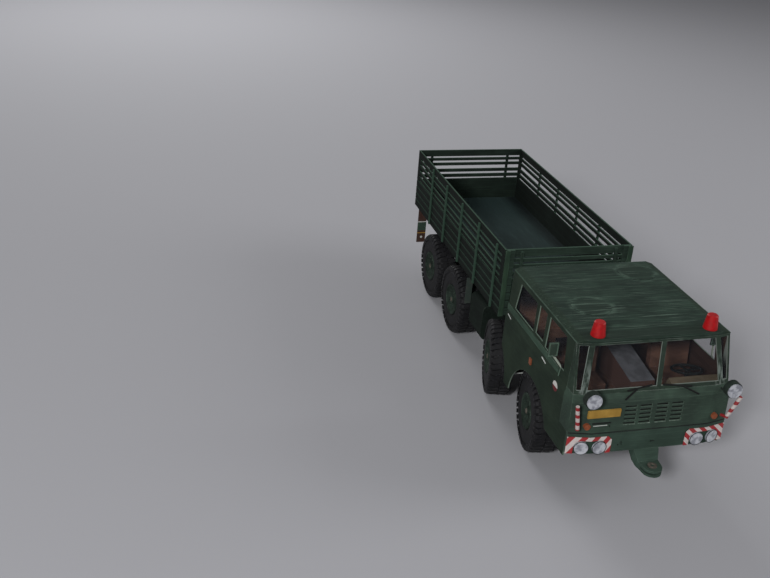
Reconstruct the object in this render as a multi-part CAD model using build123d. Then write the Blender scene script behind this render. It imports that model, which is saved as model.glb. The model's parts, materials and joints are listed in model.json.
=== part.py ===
from build123d import *
import math
import os

os.makedirs("parts", exist_ok=True)

# A card model, 1:32, of an eight-wheeled cargo truck with a four-door cab-over cab and a slatted bed.
# X points forward, Y to the truck's left, Z up. Heights start at the ground. All sizes are millimetres at
# the model's own size, and the pieces are written out about the middle of its length.

# Card and board thicknesses
card = 0.6                  # painted card of the cab's panels
board = 0.9                 # boards of the bed
film = 0.3                  # clear film of the windows
pin_gap = 0.05              # clearance round a pin in its bore

# Wheels
tyre_r = 20.2
tyre_w = 12.4
lug_count = 38
lug_h = 0.75
lug_share = 0.62            # share of the pitch that a lug's top takes
lug_foot_share = 0.74       # and its foot
rim_r = 9.0
rim_sides = 24
hub_dish = 1.9              # depth of the hub's dish
hub_cap_r = 2.1
hub_cap_h = 1.3
hub_disc_t = 2.2
hub_boss_r = 3.0
hub_boss_in = 9.4           # from the tyre's outer face to the boss's inner end
spindle_r = 1.5
spindle_end = 3.4           # from the tyre's outer face to the spindle's end
# Axles, first to last: X and the middle of the tyre in Y, and the wheels' turn about +Z at rest
axles = ((82.4, 31.9), (29.6, 33.4), (-42.3, 31.8), (-90.3, 31.0))
axle_turns_deg = (-9.0, -15.0, 0.0, 0.0)
steered_count = 2

# Axle beams and knuckles
kingpin_r = 1.0
kingpin_in = 14.1           # from the tyre's outer face in to the kingpin
eye_r = 2.3
eye_h = 4.4
yoke_t = 1.2
yoke_gap = 0.2
beam_r = 1.9
case_size = 9.0
tube_r = 3.2

# Frame
rail_y = 9.0
rail_w = 3.0
rail_bottom_z = 33.0
rail_top_z = 40.2
rail_rear_x = -128.0
cross_t = 4.0

# Cab shell: height of each bend, the front face's X there and the half width there
bumper_x = 130.0
cab_rear_x = 43.8
skirt_top_z = 39.2
belt_z = 57.4
roof_z = 79.6
cab_rows = (
    (skirt_top_z, bumper_x - 0.2, 39.0),
    (54.2, bumper_x - 1.0, 39.0),
    (belt_z, bumper_x - 3.6, 38.2),
    (roof_z, bumper_x - 9.6, 37.4),
)
corner_back = 2.4           # fall of the slanted corner at the bumper
corner_w = 10.4             # width of the slanted corner at the bumper
upper_corner = 0.65         # share of that corner above the belt
split_x = bumper_x - 12.0   # joint between the cab's front and its sides
rail_front_x = split_x
roof_t = 1.5
roof_lip = 0.3              # upright edge under the roof's slanted side strips
roof_strip_w = 3.2
roof_edge = 0.6
floor_z = 45.6              # top of the cab's floor
floor_t = 0.8
floor_blocks_x = (56.0, 108.0)
floor_block_l = 6.0
arch_r = 24.0               # opening over the first wheel
arch_drop = 3.0             # how far its centre lies under the wheel's
rear_cut_r = 22.4           # the cab's rear edge curves round the second wheel
leg_z = 20.0
tongue_z = 26.4

# Side windows: lower and upper Z, then X of the lower rear, lower front, upper front and upper rear corner
side_windows = (
    (62.2, 76.8, 51.8, 76.0, 75.4, 54.8),
    (63.0, 77.4, 78.6, 87.6, 87.4, 78.6),
    (61.8, 77.6, 90.6, 112.4, 109.6, 90.8),
)
pane_bottom_z = 59.2
pane_top_z = 78.6
# Windscreen panes: Y of their edges along the lower and along the upper edge. The middle pillar leans.
middle_pillar_y = (2.3, 4.0)
middle_pillar_w = 2.2
main_pane_end_y = (32.2, 29.4)
corner_pane_y = ((34.8, 37.0), (32.0, 36.2))
film_lap = 0.7
film_end_lap = 0.1          # at the corner panes' outer edges

# Grille slots
grille_columns = (-11.1, -3.8, 4.2, 11.7)
grille_rows = 5
grille_top_z = 51.5
grille_pitch = 2.07
slot_w = 5.8
slot_h = 1.1

# Bumper and its fittings
bumper_bottom_z = 28.8
bumper_t = 1.4
hazard_t = 0.4
hazard_in_y = 18.4
hazard_top_z = 37.4
hazard_corner = 1.8         # cut off the panel's inner upper corner
headlamp_y = (24.2, 32.4)
headlamp_z = 32.1
headlamp_r = 3.3
headlamp_t = 1.0
lamp_gap = 0.2
spot_x = bumper_x + 4.4
spots = ((-32.8, 59.1), (35.2, 58.9))           # Y and Z of each spot lamp
spot_r = 3.9
spot_len = 3.2
spot_rim = 0.4
spot_stalk_r = 0.5
lens_t = 1.2
turn_y = 31.4
turn_z = 43.1
turn_r = 1.5
side_lamp_x = 80.3
side_lamp_z = 48.4
plate_y = (-32.0, -16.4)
plate_z = (47.5, 51.2)
# Clearance poles: foot and top of each, and the arm that holds its foot
poles = (
    ((bumper_x + 0.8, -36.5, 42.9), (bumper_x + 1.4, -38.6, 55.4)),
    ((bumper_x + 0.8, 36.9, 42.4), (bumper_x + 1.6, 41.6, 53.6)),
)
pole_r = 0.9
pole_arm = 4.2
pole_arm_r = 0.7

# Wipers: Y of the arm's foot, of the blade's inner end and of its tip, and the tip's height
wiper_rows = ((-14.6, -13.1, -1.3, 60.0), (21.5, 18.5, 4.2, 59.8))
wiper_r = 0.4
wiper_foot_z = 55.0
wiper_blade_z = 58.2

# Mirrors: a plate across the cab's side and the arm that holds it
mirror_x = 105.0
mirror_t = 0.8
mirror_y = (38.7, 43.2)
mirror_z = (65.6, 72.4)
mirror_arm = ((mirror_x, 40.5, 66.0), (109.5, 37.6, 61.7))
mirror_arm_r = 0.5

# Tow hitch: a tongue from behind the bumper's lower edge, sloping down to a round jaw drilled for a pin
hitch_half_w = 6.3
hitch_neck_half_w = 4.9
hitch_neck_x = bumper_x + 3.6
hitch_root_x = bumper_x - 4.6
hitch_root_z = (26.4, 31.4)
hitch_jaw_x = bumper_x + 7.4            # middle of the jaw's round end, and of the pin's bore
hitch_jaw_r = 4.5
hitch_jaw_z = (21.2, 24.4)
jaw_plate_t = 1.0
hitch_bore_r = 0.9

# Beacons on the roof
beacon_x = split_x - 2.2
beacons_y = (-26.4, 28.6)
beacon_h = 6.8
beacon_lip = 0.4
beacon_base_r = 3.3
beacon_top_r = 2.5

# Bed
bed_front_x = 25.6
bed_rear_x = -137.0
bed_half_w = 35.8
bed_bottom_z = 44.5
bed_top_z = 82.2
deck_z = 48.2
deck_t = 1.2
bearers_x = (18.0, -16.4, -66.3, -114.0, -130.4)
bearer_w = 3.2
# Boards of the bed's walls: lower and upper edge of each, lowest first
wall_rows = (
    (bed_bottom_z, 62.4),
    (63.4, 65.6),
    (67.1, 69.2),
    (71.6, 73.5),
    (75.0, 76.8),
    (78.0, bed_top_z),
)
plank_h = 4.4
groove_h = 0.4
groove_d = 0.3
stakes_x = (14.8, -14.0, -43.5, -73.0, -102.0)
stake_w = 1.6
stake_t = 0.9
stake_drop = 1.2            # how far a stake stops under the top rail's edge
post_w = 4.2
end_stake_y = 0.74 * bed_half_w

# Seats, engine cover and dashboard
seat_depth = 15.0
seat_h = 5.6
seat_back_h = 16.0
seat_back_t = 3.5
seat_lean = 2.0
front_seat = (94.0, 24.0, 20.0)         # rear X, middle Y and width
bench = (52.0, 0.0, 70.0)
cover_half_w = 6.1
cover_outline = ((84.0, floor_z), (split_x + 0.4, floor_z), (split_x - 1.6, 56.0), (90.0, 60.2), (84.0, 60.2))
dash_y = (10.7, 37.0)
dash_outline = ((split_x - 0.5, floor_z), (split_x + 6.0, floor_z), (split_x + 5.0, 57.2),
                (split_x + 1.5, 58.7), (split_x - 1.5, 53.2))
steering_hub = (split_x - 6.5, 24.6, 57.4)
steering_lean_deg = -12.6
steering_r = 6.8
steering_wire = 0.6
spoke_w = 1.0
spoke_t = 0.4
column_r = 0.8
rear_window = (14.0, 65.0, 75.0)        # half width and heights of the opening in the rear wall

# Liner behind each front wheel: X, inner Y and lower edge
liner = (57.7, 31.3, 27.8)

# Tanks, flaps and tail lamps
tank_x = (-14.8, 5.0)
tank_y = (20.0, 35.6)
tank_z = (18.4, 39.0)
tank_edge_r = 3.0
strap_x = (-10.0, 1.0)
strap_w = 2.0
strap_t = 1.5
flap_t = 0.6
# Flaps: X, inner and outer Y, and lower edge
rear_flap = (-132.4, bed_half_w - 7.5, bed_half_w - 1.7, 18.8)
front_flap = (-21.0, bed_half_w - 2.2, bed_half_w + 1.4, 28.4)
tail_lamp_h = 4.2
tail_lamp_up = 1.4
far = 60.0                              # beyond every surface of the model

# Middle of the length, between the jaw's tip and the tailgate's stakes
middle_x = (hitch_jaw_x + hitch_jaw_r + bed_rear_x - stake_t) / 2


def box(x0, x1, y0, y1, z0, z1):
    # a block between two corners
    return Pos((x0 + x1) / 2, (y0 + y1) / 2, (z0 + z1) / 2) * Box(abs(x1 - x0), abs(y1 - y0), abs(z1 - z0))


def rod(start, end, radius):
    # a round bar between two points
    a, b = Vector(*start), Vector(*end)
    return extrude(Plane(origin=a, z_dir=b - a) * Circle(radius), amount=(b - a).length)


def disc_x(x, y, z, radius, length):
    # a round block that starts at x and points forward
    return Pos(x, y, z) * Rot(0, 90, 0) * Cylinder(
        radius, length, align=(Align.CENTER, Align.CENTER, Align.MIN))


def plate_xz(points, y0, y1):
    # a flat plate with an outline in X and Z
    face = Plane.XZ.offset(-y0) * make_face(Polyline(*points, close=True))
    return extrude(face, amount=-(y1 - y0))


def plate_yz(points, x0, x1):
    # a flat plate with an outline in Y and Z
    face = Plane.YZ.offset(x0) * make_face(Polyline(*points, close=True))
    return extrude(face, amount=x1 - x0)


def prism(points, z0, z1):
    # an upright block with an outline in X and Y
    return Plane.XY.offset(z0) * extrude(make_face(Polyline(*points, close=True)), amount=z1 - z0)


def join(shapes):
    total = shapes[0]
    for shape in shapes[1:]:
        total = total + shape
    return total


def both_sides(shape):
    # a piece and its mirror image on the other side
    return shape + mirror(shape, about=Plane.XZ)


def for_side(shape, side):
    return shape if side > 0 else mirror(shape, about=Plane.XZ)


def tyre():
    # drawn with the outer face at Y 0 and the wheel's inside towards -Y, and one lug flat on the ground
    step = 360 / lug_count
    points = []
    for k in range(lug_count):
        for share, radius in ((-lug_foot_share, tyre_r - lug_h), (-lug_share, tyre_r),
                              (lug_share, tyre_r), (lug_foot_share, tyre_r - lug_h)):
            half = math.radians(share * step / 2)
            turn = math.radians(k * step - 90) + half
            reach = radius / math.cos(half)
            points.append((reach * math.cos(turn), reach * math.sin(turn)))
    tread = make_face(Polyline(*points, close=True)) - RegularPolygon(rim_r, rim_sides, major_radius=False)
    return extrude(Plane.XZ * tread, amount=tyre_w)


def hub():
    face, rim_in = 0.4, 1.0
    profile = make_face(Polyline(
        (0, hub_cap_h - hub_dish), (hub_cap_r, hub_cap_h - hub_dish), (hub_cap_r, -hub_dish),
        (hub_cap_r + rim_in, -hub_dish), (rim_r - rim_in, -face), (rim_r, -face),
        (rim_r, -hub_dish - hub_disc_t), (hub_boss_r, -hub_dish - hub_disc_t),
        (hub_boss_r, -hub_boss_in), (0, -hub_boss_in), close=True))
    bore = rod((0, -hub_boss_in - 1, 0), (0, -spindle_end + 0.3, 0), spindle_r + pin_gap)
    return revolve(profile, Axis.Y) - bore


def wheel_place(axle, side):
    # from the drawn wheel to its place and turn at rest
    x, y = axles[axle]
    out_y = y + tyre_w / 2
    king_y = out_y - kingpin_in
    turn = Rot(0, 0, axle_turns_deg[axle])
    place = Pos(x, side * king_y, tyre_r) * turn * Pos(0, side * kingpin_in, 0)
    return place if side > 0 else place * Rot(0, 0, 180)


def knuckle(axle, side):
    # yoke round the beam's eye, its kingpin, and the spindle
    x, y = axles[axle]
    king_y = y + tyre_w / 2 - kingpin_in
    half = eye_h / 2 + yoke_gap
    web_y = eye_r + 0.5
    arms = [box(-eye_r, eye_r, -eye_r / 2, web_y + yoke_t, s * half, s * (half + yoke_t)) for s in (1, -1)]
    web = box(-eye_r, eye_r, web_y, web_y + yoke_t, -half, half)
    pin = rod((0, 0, -half), (0, 0, half), kingpin_r)
    spindle = rod((0, web_y + yoke_t, 0), (0, kingpin_in - spindle_end, 0), spindle_r)
    shape = join([arms[0], arms[1], web, pin, spindle])
    if side < 0:
        shape = Rot(0, 0, 180) * shape
    return Pos(x, side * king_y, tyre_r) * Rot(0, 0, axle_turns_deg[axle]) * shape


def axle_beam(axle):
    x, y = axles[axle]
    out_y = y + tyre_w / 2
    half = case_size / 2
    case = box(x - half, x + half, -half, half, tyre_r - half, tyre_r + half)
    if axle < steered_count:
        king_y = out_y - kingpin_in
        arm = rod((x, half, tyre_r), (x, king_y, tyre_r), beam_r)
        arm += Pos(x, king_y, tyre_r) * Cylinder(eye_r, eye_h)
        arm -= Pos(x, king_y, tyre_r) * Cylinder(kingpin_r + pin_gap, eye_h + 1)
    else:
        shoulder_y = out_y - hub_boss_in - 0.7
        arm = rod((x, half, tyre_r), (x, shoulder_y, tyre_r), beam_r)
        arm += rod((x, shoulder_y, tyre_r), (x, out_y - spindle_end, tyre_r), spindle_r)
    return case + both_sides(arm)


def backbone():
    half = case_size / 2
    places = [row[0] for row in axles]
    return join([rod((rear + half, 0, tyre_r), (front - half, 0, tyre_r), tube_r)
                 for front, rear in zip(places[:-1], places[1:])])


def frame_rails():
    half = case_size / 2
    rail = box(rail_rear_x, rail_front_x, rail_y - rail_w / 2, rail_y + rail_w / 2, rail_bottom_z, rail_top_z)
    parts = [both_sides(rail)]
    for x, _ in axles:
        parts.append(box(x - cross_t / 2, x + cross_t / 2, -rail_y, rail_y, rail_bottom_z, rail_top_z - 1.5))
        parts.append(box(x - cross_t / 2, x + cross_t / 2, -half, half, tyre_r + half, rail_bottom_z))
    for x in (rail_front_x - cross_t / 2, rail_rear_x + cross_t / 2):
        parts.append(box(x - cross_t / 2, x + cross_t / 2, -rail_y, rail_y, rail_bottom_z, rail_top_z))
    return join(parts)


def corner_share(z):
    return corner_w if z < belt_z - 0.01 else corner_w * upper_corner


def front_x(z):
    # the X of the cab's front face at one height
    for (z0, x0, _), (z1, x1, _) in zip(cab_rows[:-1], cab_rows[1:]):
        if z <= z1:
            return x0 + (x1 - x0) * (z - z0) / (z1 - z0)
    return cab_rows[-1][1]


def cab_outline(z, front, half_w, inset):
    # the cab's outline at one height, with slanted front corners, inset by a wall
    slope = corner_back / corner_w
    stretch = math.sqrt(1 + slope * slope)
    corner_y = half_w - corner_share(z) - inset * (stretch - 1) / slope
    w = half_w - inset
    front_x = front - inset
    end_x = front_x - slope * (w - corner_y)
    rear = cab_rear_x - (5.0 if inset else 0.0)
    return [(rear, -w), (end_x, -w), (front_x, -corner_y), (front_x, corner_y), (end_x, w), (rear, w)]


def cab_solid(inset):
    # the cab as one block, or the space inside its walls
    faces = [Plane.XY.offset(z) * make_face(Polyline(*cab_outline(z, front, w, inset), close=True))
             for z, front, w in cab_rows]
    parts = [loft([low, high], ruled=True) for low, high in zip(faces[:-1], faces[1:])]
    if inset:
        parts += [extrude(faces[0], amount=-2.0), extrude(faces[-1], amount=2.0)]
    return join(parts)


cab_block = cab_solid(0.0)
cab_space = cab_solid(card)
cab_shell = cab_block - cab_space


def window_hole(row, lap, y0, y1):
    z0, z1, xa, xb, xc, xd = row
    return plate_xz([(xa - lap, z0 - lap), (xb + lap, z0 - lap), (xc + lap, z1 + lap), (xd - lap, z1 + lap)],
                    y0, y1)


def cab_side(side):
    w = cab_rows[0][2]
    arch_x = axles[0][0]
    cut_x = axles[1][0]
    tongue_end = bumper_x - corner_back - bumper_t
    upper = cab_shell & box(cab_rear_x, split_x, 0.1, far, skirt_top_z, roof_z)
    leg = box(cab_rear_x, arch_x, w - card, w, leg_z, skirt_top_z)
    tongue = box(arch_x, tongue_end, w - card, w, tongue_z, skirt_top_z)
    shape = join([upper, leg, tongue])
    for row in side_windows:
        shape -= window_hole(row, 0.0, 0.0, far)
    for x, z, radius in ((arch_x, tyre_r - arch_drop, arch_r), (cut_x, tyre_r, rear_cut_r)):
        shape -= Pos(x, w, z) * Rot(90, 0, 0) * Cylinder(radius, w)
    return for_side(shape, side)


def cab_front():
    panel = cab_shell & box(split_x, bumper_x, -far, far, skirt_top_z, belt_z)
    half_w, half_h = slot_w / 2, slot_h / 2
    for y in grille_columns:
        for row in range(grille_rows):
            z = grille_top_z - grille_pitch * row
            panel -= box(split_x + 5, bumper_x, y - half_w, y + half_w, z - half_h, z + half_h)
    return panel


def pane_block(low, high, lap=0.0, end_lap=0.0):
    # a block through the cab's front with a pane's outline
    z0, z1 = pane_bottom_z - lap, pane_top_z + lap
    outline = [(low[0] - lap, z0), (low[1] + end_lap, z0), (high[1] + end_lap, z1), (high[0] - lap, z1)]
    return plate_yz(outline, split_x + 1.0, bumper_x)


def windscreen_frame():
    frame = cab_shell & box(split_x, bumper_x, -far, far, belt_z, roof_z)
    half = middle_pillar_w / 2
    for side in (1, -1):
        low, high = [(side * middle + half, end) for middle, end in zip(middle_pillar_y, main_pane_end_y)]
        frame -= for_side(pane_block(low, high), side)
    return frame - both_sides(pane_block(*corner_pane_y))


def glazing():
    # clear films behind the window openings
    skin = cab_space - cab_solid(card + film)
    low, high = [(-end, end) for end in main_pane_end_y]
    front = skin & pane_block(low, high, film_lap, film_lap)
    corner = skin & pane_block(*corner_pane_y, film_lap, film_end_lap)
    solids = list(front.solids()) + list(corner.solids()) + list(mirror(corner, about=Plane.XZ).solids())
    for row in side_windows:
        pane = skin & window_hole(row, film_lap, 0.0, far)
        solids += list(pane.solids()) + list(mirror(pane, about=Plane.XZ).solids())
    return solids


def cab_roof():
    # a slab with slanted strips along its sides and a small bevel along its front
    _, front, w = cab_rows[-1]
    low, high = roof_z + roof_lip, roof_z + roof_t
    slab = prism(cab_outline(roof_z, front, w, 0.0), roof_z, high)
    slab &= plate_yz([(-w, roof_z), (-w, low), (roof_strip_w - w, high), (w - roof_strip_w, high), (w, low),
                      (w, roof_z)], cab_rear_x, front)
    return chamfer(slab.faces().sort_by(Axis.Z)[-1].edges().sort_by(Axis.X)[-1], roof_edge)


def cab_rear_wall():
    half_w, z0, z1 = rear_window
    wall = cab_space & box(cab_rear_x, cab_rear_x + card, -far, far, floor_z - floor_t, roof_z)
    return wall - box(cab_rear_x, cab_rear_x + card, -half_w, half_w, z0, z1)


def cab_floor():
    # the floor, its blocks on the frame rails and the liner behind each front wheel
    w = cab_rows[0][2] - card
    under = floor_z - floor_t
    x, inner_y, low_z = liner
    parts = [box(cab_rear_x + card, split_x + 6, -w, w, under, floor_z),
             both_sides(box(x - card / 2, x + card / 2, inner_y, w, low_z, under))]
    half = floor_block_l / 2
    for block_x in floor_blocks_x:
        parts.append(both_sides(box(block_x - half, block_x + half, rail_y - rail_w / 2, rail_y + rail_w / 2,
                                    rail_top_z, under)))
    return join(parts)


def seat(x, y, w):
    cushion_z = floor_z + seat_h
    top_z = cushion_z + seat_back_h
    base = box(x, x + seat_depth, y - w / 2, y + w / 2, floor_z, cushion_z)
    back = plate_xz([(x, cushion_z), (x + seat_back_t, cushion_z), (x + seat_back_t - seat_lean, top_z),
                     (x - seat_lean, top_z)], y - w / 2, y + w / 2)
    return base + back


def engine_cover():
    return plate_xz(cover_outline, -cover_half_w, cover_half_w)


def dashboard():
    return plate_xz(dash_outline, *dash_y)


def steering_wheel():
    # the column stands on the cab's floor
    place = Pos(*steering_hub) * Rot(0, steering_lean_deg, 0)
    rim = revolve(Plane.XZ * Pos(steering_r, 0) * RegularPolygon(steering_wire, 8), Axis.Z)
    half = spoke_w / 2
    spokes = [box(-steering_r, steering_r, -half, half, -spoke_t, 0),
              box(-half, half, -steering_r, steering_r, -spoke_t, 0)]
    column = rod((0, 0, -floor_z), (0, 0, -spoke_t / 2), column_r)
    return (place * join([rim] + spokes + [column])) & box(cab_rear_x, bumper_x, -far, far, floor_z, roof_z)


def bumper_bend(thickness, z0, z1, proud=0.0):
    # a plate bent at the slanted ends of the cab's outline
    w = cab_rows[0][2]
    end_x = bumper_x - corner_back + proud
    front_x = bumper_x + proud
    corner_y = w - corner_w
    outer = [(end_x, -w), (front_x, -corner_y), (front_x, corner_y), (end_x, w)]
    inner = [(x - thickness, y) for x, y in reversed(outer)]
    return prism(outer + inner, z0, z1)


def bumper():
    return bumper_bend(bumper_t, bumper_bottom_z, skirt_top_z)


def hazard_panels():
    panel = bumper_bend(hazard_t, bumper_bottom_z, hazard_top_z, hazard_t)
    panel = panel & both_sides(box(bumper_x - 9, bumper_x + 9, hazard_in_y, far, 0, far))
    inner, outer = headlamp_y
    hole_r = headlamp_r + lamp_gap
    x0, x1 = bumper_x - 9, bumper_x + 9
    cuts = [disc_x(x0, y, headlamp_z, hole_r, x1 - x0) for y in headlamp_y]
    cuts.append(box(x0, x1, inner, outer, 0, headlamp_z + hole_r))
    cuts.append(box(x0, x1, inner - hole_r, outer + hole_r, 0, headlamp_z))
    y, z = hazard_in_y - 1, hazard_top_z + 1
    cuts.append(plate_yz([(y, z), (y, z - 2 - hazard_corner), (y + 2 + hazard_corner, z)], x0, x1))
    return panel - both_sides(join(cuts))


def lamp_lenses():
    inner, outer = headlamp_y
    slope = corner_back / corner_w
    outer_x = bumper_x - (outer - (cab_rows[0][2] - corner_w)) * slope
    turn = math.degrees(math.atan(slope))
    lamp = disc_x(0, 0, 0, headlamp_r, headlamp_t)
    heads = both_sides(join([Pos(bumper_x, inner, headlamp_z) * lamp,
                             Pos(outer_x, outer, headlamp_z) * Rot(0, 0, turn) * lamp]))
    return join([heads] + [disc_x(spot_x - lens_t / 2, y, z, spot_r - spot_rim, lens_t) for y, z in spots])


def spot_lamps():
    parts = []
    for y, z in spots:
        shell = disc_x(spot_x - spot_len, y, z, spot_r, spot_len)
        shell -= disc_x(spot_x - lens_t / 2, y, z, spot_r - spot_rim, lens_t)
        foot_y = y - math.copysign(1.4, y)
        stalk = rod((spot_x - spot_len / 2, y, z - spot_r + 0.4), (front_x(belt_z), foot_y, belt_z - 1.6),
                    spot_stalk_r)
        parts.append(shell + (stalk - cab_block))
    return join(parts)


def beacons():
    profile = make_face(Polyline((0, 0), (beacon_base_r, 0), (beacon_base_r, beacon_lip),
                                 (beacon_top_r, beacon_h - beacon_lip), (beacon_top_r - beacon_lip, beacon_h),
                                 (0, beacon_h), close=True))
    cone = revolve(Plane.XZ * profile, Axis.Z)
    return join([Pos(beacon_x, y, roof_z + roof_t) * cone for y in beacons_y])


def clearance_poles():
    parts = []
    for foot, top in poles:
        x, y, z = foot
        arm = rod((x - pole_arm, y - math.copysign(1, y), z - 0.6), (x, y, z + 0.4), pole_arm_r)
        parts.append(rod(foot, top, pole_r) + arm - cab_block)
    return join(parts)


def mirrors():
    plate = box(mirror_x - mirror_t / 2, mirror_x + mirror_t / 2, *mirror_y, *mirror_z)
    return both_sides(plate + rod(*mirror_arm, mirror_arm_r) - cab_block)


def wipers():
    # each arm runs up from the front panel to its blade's middle, just proud of the panel
    parts = []
    for y_foot, y_blade, y_tip, z_tip in wiper_rows:
        arm_z = (wiper_blade_z + z_tip) / 2
        foot, elbow, inner, tip = [(front_x(z) + wiper_r, y, z) for y, z in (
            (y_foot, wiper_foot_z), ((y_foot + y_tip) / 2, arm_z), (y_blade, wiper_blade_z), (y_tip, z_tip))]
        parts += [rod(foot, elbow, wiper_r), rod(inner, tip, wiper_r)]
    return join(parts) - cab_block


def number_plate():
    return box(bumper_x - 0.8, bumper_x + 0.1, *plate_y, *plate_z) - cab_block


def turn_lamps():
    front = disc_x(bumper_x - 2.2, turn_y, turn_z, turn_r, 2.4) - cab_block
    w = cab_rows[0][2]
    side = box(side_lamp_x - 1.1, side_lamp_x + 1.1, w, w + card, side_lamp_z - 1.6, side_lamp_z + 1.6)
    return both_sides(front + side)


def tow_hitch():
    # a sloping tongue that ends in two flat round plates, drilled for a tow bar's pin
    root_low, root_high = hitch_root_z
    jaw_low, jaw_high = hitch_jaw_z
    tip_x = hitch_jaw_x + hitch_jaw_r
    back_x = bumper_x - bumper_t
    outline = [(hitch_root_x, root_high), (back_x, root_high), (back_x, bumper_bottom_z),
               (bumper_x, bumper_bottom_z), (hitch_neck_x, jaw_high), (tip_x, jaw_high), (tip_x, jaw_low),
               (hitch_neck_x - jaw_plate_t, jaw_low), (hitch_root_x, root_low)]
    plan = [(hitch_root_x, -hitch_half_w), (bumper_x, -hitch_half_w), (hitch_neck_x, -hitch_neck_half_w),
            (hitch_jaw_x, -hitch_jaw_r), (hitch_jaw_x, hitch_jaw_r), (hitch_neck_x, hitch_neck_half_w),
            (bumper_x, hitch_half_w), (hitch_root_x, hitch_half_w)]
    depth = root_high - jaw_low
    ends = Pos(hitch_jaw_x, 0, jaw_low + depth / 2) * Cylinder(hitch_jaw_r, depth)
    tongue = plate_xz(outline, -hitch_half_w, hitch_half_w) & (prism(plan, jaw_low, root_high) + ends)
    mouth = box(hitch_neck_x + jaw_plate_t, tip_x, -hitch_half_w, hitch_half_w,
                jaw_low + jaw_plate_t, jaw_high - jaw_plate_t)
    return tongue - mouth - rod((hitch_jaw_x, 0, jaw_low - 1), (hitch_jaw_x, 0, jaw_high + 1), hitch_bore_r)


def deck():
    # the bed's floor with its bearers and the sills on the frame
    w = bed_half_w - board
    under = deck_z - deck_t
    parts = [box(bed_rear_x + board, bed_front_x - board, -w, w, under, deck_z)]
    for x in bearers_x:
        parts.append(box(x - bearer_w / 2, x + bearer_w / 2, -w, w, bed_bottom_z, under))
    sill = box(bearers_x[-1] - 1, bearers_x[0] + 1, rail_y - rail_w / 2, rail_y + rail_w / 2,
               rail_top_z, under)
    return join(parts + [both_sides(sill)])


def grooves(x0, x1, y0, y1):
    # cuts between the planks of the lowest board
    low, high = wall_rows[0]
    count = int((high - low) / plank_h)
    return join([box(x0, x1, y0, y1, low + plank_h * k, low + plank_h * k + groove_h)
                 for k in range(1, count + 1)])


def bed_side(side):
    inner = bed_half_w - board
    parts = [box(bed_rear_x, bed_front_x, inner, bed_half_w, z0, z1) for z0, z1 in wall_rows]
    parts += [box(x - post_w / 2, x + post_w / 2, inner, bed_half_w, bed_bottom_z, bed_top_z)
              for x in (bed_front_x - post_w / 2, bed_rear_x + post_w / 2)]
    wall = join(parts) - grooves(bed_rear_x, bed_front_x, bed_half_w - groove_d, bed_half_w)
    stakes = [box(x - stake_w / 2, x + stake_w / 2, bed_half_w, bed_half_w + stake_t, bed_bottom_z,
                  bed_top_z - stake_drop) for x in stakes_x]
    return for_side(join([wall] + stakes), side)


def bed_end(x_in, x_out, way):
    # headboard or tailgate, with its boards between the sides and stakes outside
    w = bed_half_w - board
    wall = join([box(x_in, x_out, -w, w, z0, z1) for z0, z1 in wall_rows])
    wall -= grooves(x_out - way * groove_d, x_out, -w, w)
    stakes = both_sides(box(x_out, x_out + way * stake_t, end_stake_y - stake_w / 2,
                            end_stake_y + stake_w / 2, bed_bottom_z, bed_top_z - stake_drop))
    return wall + stakes


def headboard():
    posts = both_sides(box(bed_front_x, bed_front_x + stake_t, bed_half_w - board - post_w,
                           bed_half_w - board, bed_bottom_z, bed_top_z))
    return bed_end(bed_front_x - board, bed_front_x, 1) + posts


def side_tanks():
    tank = fillet(box(*tank_x, *tank_y, *tank_z).edges().filter_by(Axis.X), tank_edge_r)
    strap_z = rail_bottom_z + 1
    straps = [box(x - strap_w / 2, x + strap_w / 2, rail_y + rail_w / 2, tank_y[0] + 0.5,
                  strap_z, strap_z + strap_t) for x in strap_x]
    return both_sides(join([tank] + straps))


def mud_flaps():
    parts = [box(x, x + flap_t, y0, y1, z, bed_bottom_z) for x, y0, y1, z in (rear_flap, front_flap)]
    return both_sides(join(parts))


def tail_lamps():
    x, y0, y1, z = rear_flap
    low = z + tail_lamp_up
    return both_sides(box(x - 1.0, x, y0 + 0.8, y1 - 0.8, low, low + tail_lamp_h))


pieces = {
    "backbone_tube": backbone(),
    "frame_rails": frame_rails(),
    "cab_floor": cab_floor(),
    "cab_side_left": cab_side(1),
    "cab_side_right": cab_side(-1),
    "cab_front": cab_front(),
    "windscreen_frame": windscreen_frame(),
    "glazing": glazing(),
    "cab_roof": cab_roof(),
    "cab_rear_wall": cab_rear_wall(),
    "front_seats": both_sides(seat(*front_seat)),
    "rear_bench": seat(*bench),
    "engine_cover": engine_cover(),
    "dashboard": dashboard(),
    "steering_wheel": steering_wheel(),
    "bumper": bumper(),
    "hazard_panels": hazard_panels(),
    "lamp_lenses": lamp_lenses(),
    "spot_lamps": spot_lamps(),
    "beacons": beacons(),
    "clearance_poles": clearance_poles(),
    "mirrors": mirrors(),
    "wipers": wipers(),
    "number_plate": number_plate(),
    "turn_lamps": turn_lamps(),
    "tow_hitch": tow_hitch(),
    "bed_floor": deck(),
    "bed_side_left": bed_side(1),
    "bed_side_right": bed_side(-1),
    "headboard": headboard(),
    "tailgate": bed_end(bed_rear_x + board, bed_rear_x, -1),
    "side_tanks": side_tanks(),
    "mud_flaps": mud_flaps(),
    "tail_lamps": tail_lamps(),
}
for axle in range(len(axles)):
    pieces[f"axle_{axle + 1}"] = axle_beam(axle)
    for side, name in ((1, "left"), (-1, "right")):
        place = wheel_place(axle, side)
        pieces[f"tyre_{axle + 1}_{name}"] = place * tyre()
        pieces[f"hub_{axle + 1}_{name}"] = place * hub()
        if axle < steered_count:
            pieces[f"knuckle_{axle + 1}_{name}"] = knuckle(axle, side)

for name, shape in pieces.items():
    solids = list(shape) if isinstance(shape, list) else list(shape.solids())
    solids = [Pos(-middle_x, 0, 0) * solid for solid in solids]
    out = solids[0] if len(solids) == 1 else Compound(children=solids)
    out.label = name
    export_step(out, f"parts/{name}.step")
print(len(pieces), "pieces")
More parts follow.
